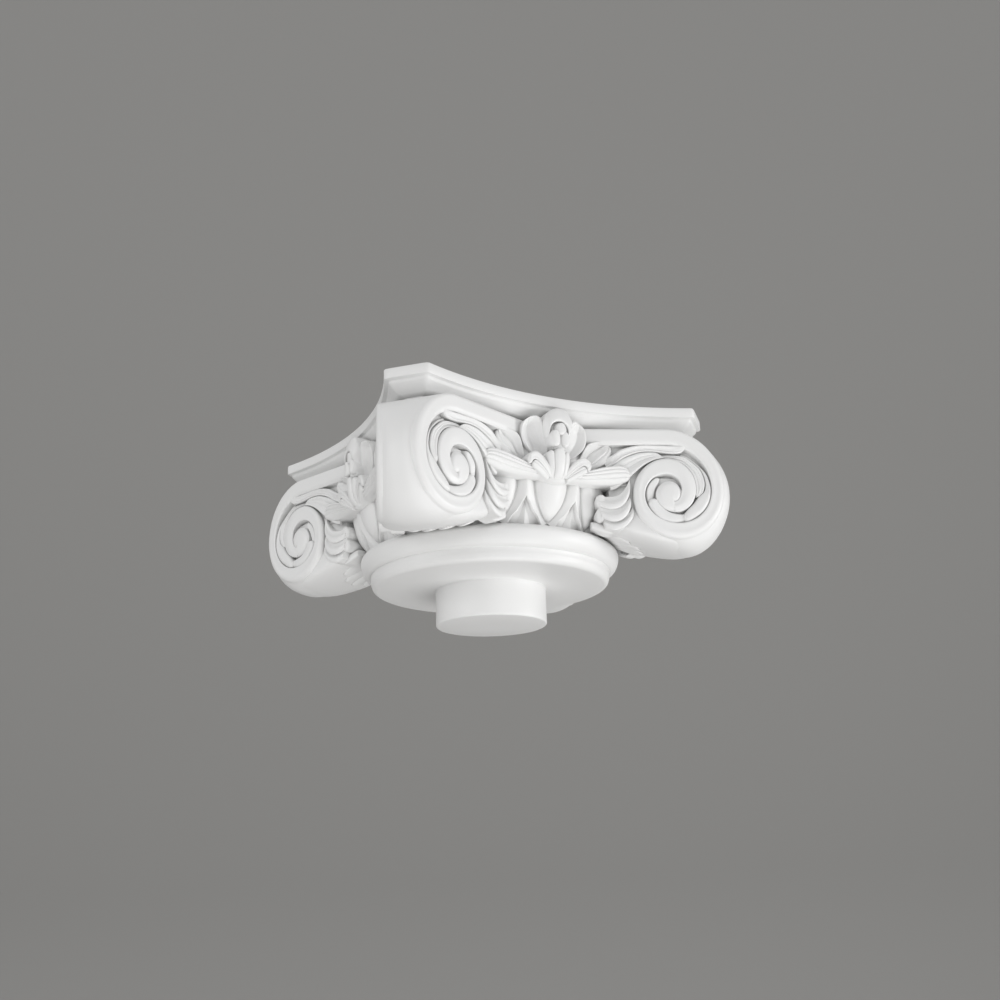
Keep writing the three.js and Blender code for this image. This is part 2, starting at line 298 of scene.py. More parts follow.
@dataclass
class Leaf:
    """A leaf, petal or lobe drawn by its two edges, which meet at the tip.

    Attributes:
        plane: What the edges are given on.
        left: Along, up and out of the one edge, from root to tip.
        right: The same of the other edge.
        ground: The out value that its sides reach down to.
        crown: How far the middle stands above the edges.
        square: How full the section is: 2 is round, 4 is flat-topped with steep sides.
        cup: How deep the middle is hollowed inside a raised border.
        hollow: The middle and half width of that hollow, from -1 left to 1 right.
        furrows: Where thin furrows run along it, from -1 left to 1 right.
        furrow: How deep they are.
        furrow_width: How wide they are, as a share of the half width.
        lip: Extra rise of the border at the tip.
        steps: How many rings it has from root to tip.
        across: How many points each ring has on the upper side.
    """

    # Shares of the length over which the lip rises, the cup closes and the furrows fade, how the
    # rings crowd towards the tip, and how near to it the last one comes.
    LIP_RISES = (0.6, 0.95)
    CUP_SHUTS = (0.7, 0.97)
    FURROWS_FADE = (1.0, 0.86)
    TIP_CROWDING = 1.5
    TIP_SHARE = 0.9985

    plane: Plane
    left: Sequence[Point]
    right: Sequence[Point]
    ground: float
    crown: float = 3.0
    square: float = 2.6
    cup: float = 0.0
    hollow: tuple[float, float] = (0.0, 0.8)
    furrows: Sequence[float] = ()
    furrow: float = 0.8
    furrow_width: float = 0.09
    lip: float = 0.0
    steps: int = 40
    across: int = 31

    @staticmethod
    def edge(points: Sequence[Point], shares: np.ndarray) -> np.ndarray:
        """Reads the smooth curve through an edge's points at shares of its length."""
        fine = spline(points, 24 * len(points))
        run = np.concatenate([[0.0], np.cumsum(np.linalg.norm(np.diff(fine, axis=0), axis=1))])
        return np.column_stack([np.interp(shares * run[-1], run, fine[:, k]) for k in range(3)])

    def height(self, x: float, full: float, share: float) -> float:
        """How high the upper side stands over the line between the edges.

        Args:
            x: The place across, from -1 at the left edge to 1 at the right.
            full: The width there over the greatest width.
            share: How far along the leaf it is, from 0 at the root to 1 at the tip.

        Returns:
            The height in millimetres.
        """
        stand = min(1.0, full * 1.5) ** 0.7
        dome = (1.0 - abs(x) ** self.square) ** (1.0 / self.square)
        rise = (self.crown + self.lip * ease(*self.LIP_RISES, share)) * dome
        middle, half = self.hollow
        near = (x - middle) / half
        if abs(near) < 1.0:
            rise -= self.cup * (1.0 - near * near) ** 1.5 * (1.0 - ease(*self.CUP_SHUTS, share))
        fade = ease(*self.FURROWS_FADE, share)
        for place in self.furrows:
            rise -= self.furrow * math.exp(-(((x - place) / self.furrow_width) ** 2)) * fade
        return rise * stand

    def carve(self, carving: Carving, datum: Datum) -> None:
        """Adds the leaf to a carving as one closed surface."""
        shares = 1.0 - (1.0 - np.linspace(0.0, 1.0, self.steps)) ** self.TIP_CROWDING
        shares *= self.TIP_SHARE
        left, right = self.edge(self.left, shares), self.edge(self.right, shares)
        widths = np.linalg.norm(right - left, axis=1)
        places = -np.cos(np.linspace(0.0, math.pi, self.across))
        rings = []
        for a, b, wide, share in zip(left, right, widths, shares):
            ring = []
            for x in places:
                along, up, out = a + (b - a) * (x + 1.0) / 2.0
                lift = self.height(x, wide / widths.max(), share)
                ring.append(datum.place(self.plane, along, up, out + lift))
            for along, up, _ in (b, a):
                ring.append(datum.place(self.plane, along, up, self.ground))
            rings.append(ring)
        carving.add_tube(np.array(rings))


def oval(plane: Plane, centre: Point, half: Pair, ground: float, crown: float) -> Leaf:
    """Draws a round boss as a leaf.

    Args:
        plane: What it is given on.
        centre: Along, up and out of its middle.
        half: Its half width and half height.
        ground: The out value that its side reaches down to.
        crown: How far its middle stands out.

    Returns:
        The leaf, which is blunt at its root and pointed at its tip.
    """
    along, up, out = centre
    wide, high = half
    blunt = 0.15 * wide * math.cos(3 * math.pi / 8)
    edges = []
    for side in (-1, 1):
        curve = arc((along, up), side * wide, high, -90, 90, 9)
        curve[0] = (along + side * blunt, up - high)
        edges.append([(x, y, out) for x, y in curve])
    return Leaf(plane, edges[0], edges[1], ground, crown=crown, square=2.0, steps=24, across=19)


@dataclass
class TurnedBase:
    """The spigot, the necking with its fillet, the torus and the ground of the egg band."""

    datum: Datum
    spigot_radius: float = 55.25
    spigot_edge: float = 1.6
    spigot_root: float = 1.2
    shoulder_radius: float = 104.0
    foot_heart: float = 113.0
    foot_width: float = 6.0
    foot_height: float = 5.4
    neck_radius: float = 119.6
    torus_radius: float = 129.8
    torus_middle: float = 63.6
    torus_bulge: float = 9.2
    drum_radius: float = 106.0
    drum_sink: float = 3.0
    sides: int = 256

    def outline(self) -> list[Pair]:
        """The turned profile, from the spigot's underside up to the hidden drum in the abacus."""
        d = self.datum
        spigot, edge, root = self.spigot_radius, self.spigot_edge, self.spigot_root
        points = [(20.0, 0.0), (spigot - edge, 0.0)]
        points += arc((spigot - edge, edge), edge, edge, -90, 0, 5)[1:]
        points += [(spigot, 8.0), (spigot, d.shoulder - 8.0)]
        points += arc((spigot + root, d.shoulder - root), root, root, 180, 90, 4)
        points += [(radius, d.shoulder) for radius in (75.0, 95.0, self.shoulder_radius)]
        foot, neck = d.shoulder + self.foot_height, self.neck_radius
        points += arc((self.foot_heart, foot + 0.3), self.foot_width, self.foot_height, -90, -8, 8)
        points += [(neck - 0.5, foot + 0.4), (neck, foot + 1.2), (neck, 45.0)]
        points += [(neck, d.neck_top - 1.2), (neck + 0.5, d.neck_top - 0.3)]
        heart = (self.torus_radius - self.torus_bulge, self.torus_middle)
        low, high = self.torus_middle - d.neck_top + 0.3, d.torus_top - self.torus_middle
        points += arc(heart, self.torus_bulge, low, -84, 0, 16)
        points += arc(heart, self.torus_bulge, high, 0, 78, 14)[1:]
        points += [(d.echinus(z), z) for z in np.linspace(d.torus_top + 1.5, d.echinus_top, 14)]
        drum = self.drum_radius
        points += [(drum + 6.0, d.echinus_top + 0.4), (drum + 2.0, d.echinus_top)]
        return points + [(drum, d.band_top - self.drum_sink)]

    def build(self) -> bpy.types.Object:
        """Makes the piece."""
        carving = Carving("turned_base")
        carving.add_lathe(self.outline(), self.sides)
        return carving.build()


@dataclass
class Abacus:
    """The moulded slab on top: four hollow sides, cut corners, a fascia and a cove below it."""

    datum: Datum
    corner_reach: float = 220.5
    corner_half_width: float = 21.0
    side_reach: float = 141.4
    root_inset: float = 18.0
    cove_run: float = 13.6
    cove_rise: float = 10.6
    cove_hollow: float = 0.3
    top_edge: float = 1.4
    side_steps: int = 72
    cut_steps: int = 8

    def ring(self, inset: float, height: float) -> np.ndarray:
        """One level of the slab.

        Args:
            inset: How far the outline is moved in.
            height: The level's height.

        Returns:
            The outline's points, closer together towards the corners, which are softened.
        """
        half_chord = (self.corner_reach - self.corner_half_width) / math.sqrt(2)
        rise = (self.corner_reach + self.corner_half_width) / math.sqrt(2) - self.side_reach
        bow = (half_chord**2 + rise**2) / (2 * rise)
        centre, radius = self.side_reach + bow, bow + inset
        offset = (self.corner_reach - inset) * math.sqrt(2) - centre
        along = (offset + math.sqrt(2 * radius**2 - offset**2)) / 2
        end = math.asin(along / radius)
        steps = np.linspace(-1.0, 1.0, self.side_steps)
        spread = np.sign(steps) * (1.0 - (1.0 - np.abs(steps)) ** 1.25)
        sides = [(radius * math.sin(a), radius * math.cos(a) - centre) for a in spread * end]
        first = np.array(sides[-1])
        last = np.array([-sides[0][1], sides[0][0]])
        cut = [tuple(first + (last - first) * t) for t in np.linspace(0, 1, self.cut_steps + 2)]
        quarter = np.array(sides + cut[1:-1])
        turns = []
        for k in range(4):
            c, s = math.cos(k * math.pi / 2), math.sin(k * math.pi / 2)
            turns.append(quarter @ np.array([[c, s], [-s, c]]))
        flat = np.vstack(turns)
        soft = 0.5 * flat + 0.25 * (np.roll(flat, 1, 0) + np.roll(flat, -1, 0))
        return np.column_stack([soft, np.full(len(soft), height)])

    def levels(self) -> list[tuple[float, float]]:
        """Inset and height pairs from the hidden root up to the middle of the top."""
        d = self.datum
        root, start, hollow = self.root_inset, d.band_top + 0.5, self.cove_hollow
        low = [(root + 2.5, d.band_top - 5.0), (root + 0.5, d.band_top - 1.0)]
        cove = []
        for t in np.linspace(0.0, 1.0, 14):
            a = t * math.pi / 2
            out = hollow * math.sin(a) + (1.0 - hollow) * t
            up = hollow * (1.0 - math.cos(a)) + (1.0 - hollow) * t
            cove.append((root - self.cove_run * out, start + self.cove_rise * up))
        foot, edge = d.fascia_bottom, self.top_edge
        fillet = [(4.2, foot - 1.9), (3.9, foot - 0.8), (3.4, foot - 0.3)]
        fascia = [(1.0, foot), (0.3, foot + 0.3), (0.0, foot + 1.0), (0.0, d.top - 5.0)]
        rim = [(0.0, d.top - edge), (0.4, d.top - 0.5), (edge, d.top), (2.2, d.top), (30.0, d.top)]
        return low + cove + fillet + fascia + rim

    def build(self) -> bpy.types.Object:
        """Makes the piece."""
        carving = Carving("abacus")
        carving.add_tube(np.array([self.ring(i, z) for i, z in self.levels()]))
        return carving.build()


@dataclass
class Volute:
    """The spiral drawn on each face of a horn.

    Turns are counted in quarters from the top, outwards over the corner and down.

    Attributes:
        datum: The shared heights and reaches.
        eye_along: How far along the face the eye lies.
        eye_height: How high it lies.
        outer: The radius of the rim's outside at each quarter.
        inner: The radius of the rim's inside at each quarter.
        floor: The channel's depth on the first turn.
        floor_drop: How much deeper it gets after the first turn.
        arris_radius: The rounding of the rim's outer edge.
        arris_front: How much fuller that is round the front of the scroll.
        arris_fining: How much finer it gets, once on the second turn and again in the eye.
        quarters: How many quarters the rim has.
        steps_per_quarter: How finely it is cut.
    """

    datum: Datum
    eye_along: float = 165.9
    eye_height: float = 103.0
    outer: tuple[float, ...] = (65, 50.5, 44.5, 38.5, 34.4, 21.7, 18.5, 16.6, 11.5, 7.0, 8.2)
    inner: tuple[float, ...] = (48.5, 37, 29.3, 27.4, 17.9, 7.7, 9.0)
    floor: float = 8.0
    floor_drop: float = 4.5
    arris_radius: float = 3.2
    arris_front: float = 2.6
    arris_fining: float = 1.2
    quarters: int = 6
    steps_per_quarter: int = 22

    @staticmethod
    def read(radii: Sequence[float], quarters: float) -> float:
        """Reads a list of radii at any turn, along a smooth curve of their logarithms."""
        logs = [math.log(r) for r in radii]
        i = min(int(quarters), len(logs) - 2)
        t = quarters - i
        a, b, c, d = logs[max(i - 1, 0)], logs[i], logs[i + 1], logs[min(i + 2, len(logs) - 1)]
        bend = (2 * a - 5 * b + 4 * c - d) * t * t + (3 * b - 3 * c + d - a) * t**3
        return math.exp(b + 0.5 * ((c - a) * t + bend))

    def arris(self, quarters: float) -> float:
        """The rounding of the rim's outer edge: full round the front, finer towards the eye."""
        front = self.arris_front * ease(0.0, 0.8, quarters) * (1.0 - ease(2.8, 3.9, quarters))
        fining = self.arris_fining * (ease(3.0, 5.0, quarters) + ease(8.0, 9.6, quarters))
        return self.arris_radius + front - fining

    def section(self, quarters: float) -> list[Pair]:
        """The cut across the rim and its channel at a turn.

        Args:
            quarters: The turn in quarters.

        Returns:
            Distance from the eye and depth behind the face, from the rim's outside to the next
            turn's outside.
        """
        out, inn = self.read(self.outer, quarters), self.read(self.inner, quarters)
        end, there = self.read(self.outer, quarters + 4), self.arris(quarters + 4)
        gap, rim = max(inn - end, 0.05), max(out - inn, 1.0)
        here = min(self.arris(quarters), rim * 0.56)
        deep = (self.floor + self.floor_drop * ease(3.7, 4.4, quarters)) * ease(0.0, 5.0, gap)
        points = [
            (out - here * (1 - math.cos(a)), here * (1 - math.sin(a)))
            for a in np.radians(np.linspace(0, 90, 6))
        ]
        # The rim's face is flat over the band, a little hollow round the front and full further in.
        on_band = 1.0 - ease(0.1, 0.9, quarters)
        slope = min(1.6 + 3.4 * on_band, rim * 0.38)
        start, stop = out - here, inn + slope
        swell = 0.9 * ease(3.6, 4.4, quarters)
        swell -= 0.3 * ease(0.3, 1.0, quarters) * ease(3.8, 3.0, quarters)
        for t in np.linspace(0, 1, 8)[1:]:
            points.append((start + (stop - start) * t, -swell * math.sin(math.pi * t)))
        top = (0.8 + 1.2 * on_band) * min(1.0, deep / 4.0)
        points += [(stop - slope * t, top * t * t) for t in np.linspace(0, 1, 6)[1:]]
        # The channel has a flat floor between two steep walls with soft feet.
        foot = min(1.2, gap * 0.2)
        points.append((inn - foot * 0.3, top + (deep - top) * 0.6))
        for t in np.linspace(0, 1, 6)[:-1]:
            points.append((inn - foot + (end + 2 * foot - inn) * t, deep))
        wall = max(deep, there)
        points += [(end + foot, wall), (end + foot * 0.3, there + (wall - there) * 0.6)]
        return points + [(end, there)]

    def on_face(self, distance: float, quarters: float) -> Pair:
        """Along and up of a place at a distance from the eye, at a turn."""
        angle = math.pi / 2 * (1 - quarters)
        along = self.eye_along + distance * math.cos(angle)
        return (along, self.eye_height + distance * math.sin(angle))


@dataclass
class Horn:
    """One corner: a scroll between two volute faces and the solid behind the band.

    A side tells its two faces apart: 1 for the left as seen from the corner, -1 for the right.

    Attributes:
        datum: The shared heights and reaches.
        volute: The spiral on its faces.
        front_swell: How far the roll between the faces stands out in front.
        under_swell: How much more it does below.
        across_steps: How many points the roll has between the faces.
        crease_along: Where the horn's band ends, inside the next horn's.
        knob: How far the knob in the eye stands out.
    """

    datum: Datum
    volute: Volute
    front_swell: float = 3.2
    under_swell: float = 3.8
    across_steps: int = 18
    crease_along: float = 30.0
    knob: float = 1.3

    def point(self, along: float, up: float, depth: float, side: int) -> Point:
        """A point of the horn at the first corner.

        Args:
            along: Along the volute face.
            up: The height.
            depth: How far behind the face.
            side: Which face.

        Returns:
            The point in space.
        """
        d = self.datum
        reach = d.face_distance - depth
        out = along * math.cos(d.horn_angle) + reach * math.sin(d.horn_angle)
        lateral = reach * math.cos(d.horn_angle) - along * math.sin(d.horn_angle)
        return at_corner(out, side * lateral, up)

    def across(self, first: Point, last: Point, swell: float) -> list[Point]:
        """Points between the two faces over the outside of the scroll.

        Args:
            first: The point on the one face.
            last: The point on the other.
            swell: How far the middle stands out, along the spoke from the eye.

        Returns:
            The points between them.
        """
        d, v = self.datum, self.volute
        a, b = Vector(first), Vector(last)
        out = v.eye_along * math.cos(d.horn_angle) + d.face_distance * math.sin(d.horn_angle)
        spoke = ((a + b) / 2 - Vector(at_corner(out, 0.0, v.eye_height))).normalized()
        points = []
        for step in np.linspace(0.0, 1.0, self.across_steps + 2)[1:-1]:
            t = 0.5 - 0.5 * math.cos(math.pi * step)
            lift = swell * (1.0 - abs(2.0 * t - 1.0) ** 2.6)
            points.append(tuple(a.lerp(b, t) + spoke * lift))
        return points

    @staticmethod
    def strips(rows: Sequence[Sequence[int]]) -> list[Face]:
        """The faces between neighbouring rows of point numbers."""
        return [
            (near[j], near[j + 1], far[j + 1], far[j])
            for near, far in zip(rows, rows[1:])
            for j in range(len(near) - 1)
        ]

    def add_scroll(self, carving: Carving) -> None:
        """Adds the scroll as one closed surface: two carved faces and the roll between them."""
        v = self.volute
        once = 4 * v.steps_per_quarter
        turns = [i / v.steps_per_quarter for i in range(v.quarters * v.steps_per_quarter + 1)]
        points: list[Point] = []
        faces: list[Face] = []
        sides: list[list[list[int]]] = []
        for side in (1, -1):
            rows = []
            for turn in turns:
                section = v.section(turn)
                rows.append(list(range(len(points), len(points) + len(section))))
                points += [self.point(*v.on_face(out, turn), depth, side) for out, depth in section]
            for row, next_turn in zip(rows, rows[once:]):
                row[-1] = next_turn[0]
            faces += self.strips(rows)
            self.add_knob(points, faces, rows, side)
            sides.append(rows)
        bands = []
        for turn, left, right in zip(turns[: once + 1], *sides):
            swell = self.front_swell * ease(0.1, 0.9, turn)
            swell = (swell + self.under_swell * ease(1.2, 2.0, turn)) * (1 - ease(2.6, 3.4, turn))
            made = self.across(points[left[0]], points[right[0]], swell)
            bands.append([left[0], *range(len(points), len(points) + len(made)), right[0]])
            points += made
        faces += self.strips(bands)
        left, right = sides
        faces.append((*left[0][:-1], *bands[-1], *right[0][-2::-1], *bands[0][-2:0:-1]))
        carving.add(np.array(points), faces)

    def add_knob(
        self, points: list[Point], faces: list[Face], rows: list[list[int]], side: int
    ) -> None:
        """Closes the middle of a volute face with a low dome.

        Args:
            points: The scroll's points so far, added to.
            faces: The scroll's faces so far, added to.
            rows: The face's stations of point numbers.
            side: Which face.
        """
        v = self.volute
        per = v.steps_per_quarter
        previous = [row[-1] for row in rows[2 * per :]] + rows[-1][-2:0:-1]
        turns = [v.quarters + i / per for i in range(4 * per + 1)]
        rim = [(*v.on_face(v.read(v.outer, turn), turn), v.arris(turn)) for turn in turns]
        rim += [(*v.on_face(out, v.quarters), low) for out, low in v.section(v.quarters)[-2:0:-1]]
        middle, height, _ = np.mean(rim, axis=0)
        for k in (0.94, 0.86, 0.76, 0.62, 0.45, 0.25):
            made = list(range(len(points), len(points) + len(rim)))
            for along, up, low in rim:
                depth = low * ease(0.7, 1.0, k) ** 2 - self.knob * (1 - k * k)
                place = (middle + (along - middle) * k, height + (up - height) * k)
                points.append(self.point(*place, depth, side))
            faces += self.strips([previous + previous[:1], made + made[:1]])
            previous = made
        faces += [(a, b, len(points)) for a, b in zip(previous, previous[1:] + previous[:1])]
        points.append(self.point(middle, height, -self.knob, side))

    def add_band(self, carving: Carving) -> None:
        """Adds the straight run of the band and the ground of the channel below it."""
        d, v = self.datum, self.volute
        outside = v.read(v.inner, 0.0) - 1.5
        line = [(v.eye_height + out, depth) for out, depth in v.section(0.0) if out >= outside]
        line += [(z, v.floor) for z in np.linspace(line[-1][0] - 4, d.echinus_top - 3, 6)]
        rings = []
        for along in np.linspace(v.eye_along, self.crease_along, 24):
            left = [self.point(along, z, depth, 1) for z, depth in line]
            right = [self.point(along, z, depth, -1) for z, depth in line]
            rings.append(left + right[::-1] + self.across(right[0], left[0], 0.0))
        carving.add_tube(np.array(rings))

    def add_web(self, carving: Carving) -> None:
        """Adds the web that carries the scroll on the ring, smooth below and hidden above."""
        d = self.datum
        reaches, _, halves = zip(*d.web_line)
        rings = []
        for reach in np.linspace(reaches[0], reaches[-1], 30):
            half = float(np.interp(reach, reaches, halves))
            section = [(y, d.web(reach, y)) for y, _ in arc((0.0, 0.0), half, 0.0, 180, 0, 33)]
            rise = section[0][1]
            behind = min(half - 2.0, 30.0 + max(0.0, reach - 128.0) * 1.9)
            climb = max(94.0, rise + 4) - rise
            wall = [
                (half + (behind - half) * ease(0.1, 1.0, t), rise + climb * t)
                for t in np.linspace(0.15, 1.0, 7)
            ]
            wall.append((behind, d.echinus_top + 4))
            section += wall + [(-y, z) for y, z in reversed(wall)]
            rings.append([at_corner(reach, -y, z) for y, z in section])
        carving.add_tube(np.array(rings))

    def build(self) -> list[bpy.types.Object]:
        """Makes the four horns."""
        carving = Carving("horn")
        self.add_scroll(carving)
        self.add_band(carving)
        self.add_web(carving)
        return carving.build_four()


@dataclass
class EggBand:
    """Three eggs to a face, each in its shell, with darts between the shells.

    Attributes:
        datum: The shared heights and reaches.
        pitch: The angle from one egg to the next.
        half_width: Half an egg's width, where it is cut off at the top.
        tip: The height of its lower end.
        proud: How far it stands out.
        shell: How wide the shell is at the sides.
        shell_gap: The groove between the egg and its shell.
        shell_foot: How far over the torus the shell's bend lies.
        dart_half: Half a dart's width at its foot.
        dart_height: How high a dart is.
    """

    datum: Datum
    pitch: float = math.radians(22.5)
    half_width: float = 17.2
    tip: float = 74.5
    proud: float = 8.0
    shell: float = 9.6
    shell_gap: float = 0.7
    shell_foot: float = 3.2
    dart_half: float = 7.5
    dart_height: float = 20.6

    # Across a shell: how far over it, and how far it stands out where it is on its own and where
    # it runs together with the next shell.
    SHELL_SECTION = (
        (0.0, -6.0, -6.0), (0.0, -1.0, -1.0), (0.1, 0.6, 0.9), (0.3, 1.6, 2.4), (0.55, 2.8, 3.8),
        (0.75, 4.0, 4.7), (0.88, 4.6, 5.1), (0.97, 4.2, 5.3), (1.0, 3.0, 5.3), (1.02, -1.0, 5.3),
        (1.02, -6.0, -6.0),
    )
    # The heights over which neighbouring shells run together.
    SHELLS_MEET = (89.5, 96.5)
    # Across a dart, and how far it stands out at its foot.
    DART_SECTION = ((-1, -5), (-1, 0.2), (-0.5, 1.8), (0, 3.8), (0.5, 1.8), (1, 0.2), (1, -5))

    def width(self, height: float) -> float:
        """Half the egg's width at a height."""
        top = self.datum.echinus_top
        fall = min(max((top - height) / (top - self.tip), 0.0), 1.0)
        return self.half_width * (1.0 - fall**2.3) ** 0.82

    def add_egg(self, carving: Carving, middle: float) -> None:
        """Adds an egg.

        Args:
            carving: What it is added to.
            middle: How far round the band its middle lies.
        """
        d = self.datum
        rings = []
        for t in np.linspace(0.0, 1.0, 26):
            height = self.tip + (d.echinus_top - self.tip) * (1 - math.cos(t * math.pi / 2))
            half = max(self.width(height), 0.15)
            belly = 0.7 + 1.6 * math.sin(math.pi * min(1.0, t * 1.1)) ** 1.5
            round_out = self.proud * (half / self.half_width) ** 0.7
            section = [(x, y * round_out - 1.7 + belly) for x, y in arc((0, 0), 1, 1, 180, 0, 25)]
            section += [(x, -6.0) for x in (1.0, 0.0, -1.0)]
            rings.append([d.place(Plane.BAND, middle + x * half, height, y) for x, y in section])
        carving.add_tube(np.array(rings))

    def add_shell(self, carving: Carving, middle: float, side: int) -> None:
        """Adds half the shell round an egg, as one band that runs up from its tip.

        Args:
            carving: What it is added to.
            middle: How far round the band the egg's middle lies.
            side: -1 for the left half, 1 for the right.
        """
        d = self.datum
        share = d.echinus_radius * self.pitch / 2
        bend = d.torus_top + self.shell_foot
        rings = []
        for drop in np.linspace(0.0, 1.0, 46):
            height = bend + (d.echinus_top - bend) * drop**1.35
            inner = self.width(height) + self.shell_gap if height > self.tip else -0.3
            wide = self.shell * (0.74 + 0.26 * ease(0.0, 0.4, drop))
            merge = ease(*self.SHELLS_MEET, height)
            outer = min(inner + wide, share - 0.4)
            outer += (share + 0.05 - outer) * merge
            fall = wide * 0.7 * (1.0 - ease(0.0, 0.2, drop))
            ring = []
            for x, apart, joined in self.SHELL_SECTION:
                along = inner + (outer - inner) * (x + (min(x, 1.0) - x) * merge)
                out = apart + (joined - apart) * merge
                ring.append(d.place(Plane.BAND, middle + side * along, height - fall * x, out))
            rings.append(ring)
        carving.add_tube(np.array(rings))

    def add_dart(self, carving: Carving, middle: float) -> None:
        """Adds the dart between two shells: a ridge that widens downwards.

        Args:
            carving: What it is added to.
            middle: How far round the band the dart lies.
        """
        d = self.datum
        rings = []
        for t in np.linspace(0.0, 1.0, 14):
            height = d.torus_top - 0.5 + self.dart_height * t
            half = 0.3 + (self.dart_half - 0.3) * (1.0 - t) ** 1.1
            ring = []
            for x, rise in self.DART_SECTION:
                out = rise * (1.0 - 0.6 * t) if rise > 0 else rise
                ring.append(d.place(Plane.BAND, middle + half * x, height, out))
            rings.append(ring)
        carving.add_tube(np.array(rings))

    def build(self) -> list[bpy.types.Object]:
        """Makes the egg bands of the four faces."""
        carving = Carving("egg_band")
        step = self.pitch * self.datum.echinus_radius
        for i in (-1, 0, 1):
            self.add_egg(carving, i * step)
            for side in (-1, 1):
                self.add_shell(carving, i * step, side)
        for i in (-1.5, -0.5, 0.5, 1.5):
            self.add_dart(carving, i * step)
        return carving.build_four()


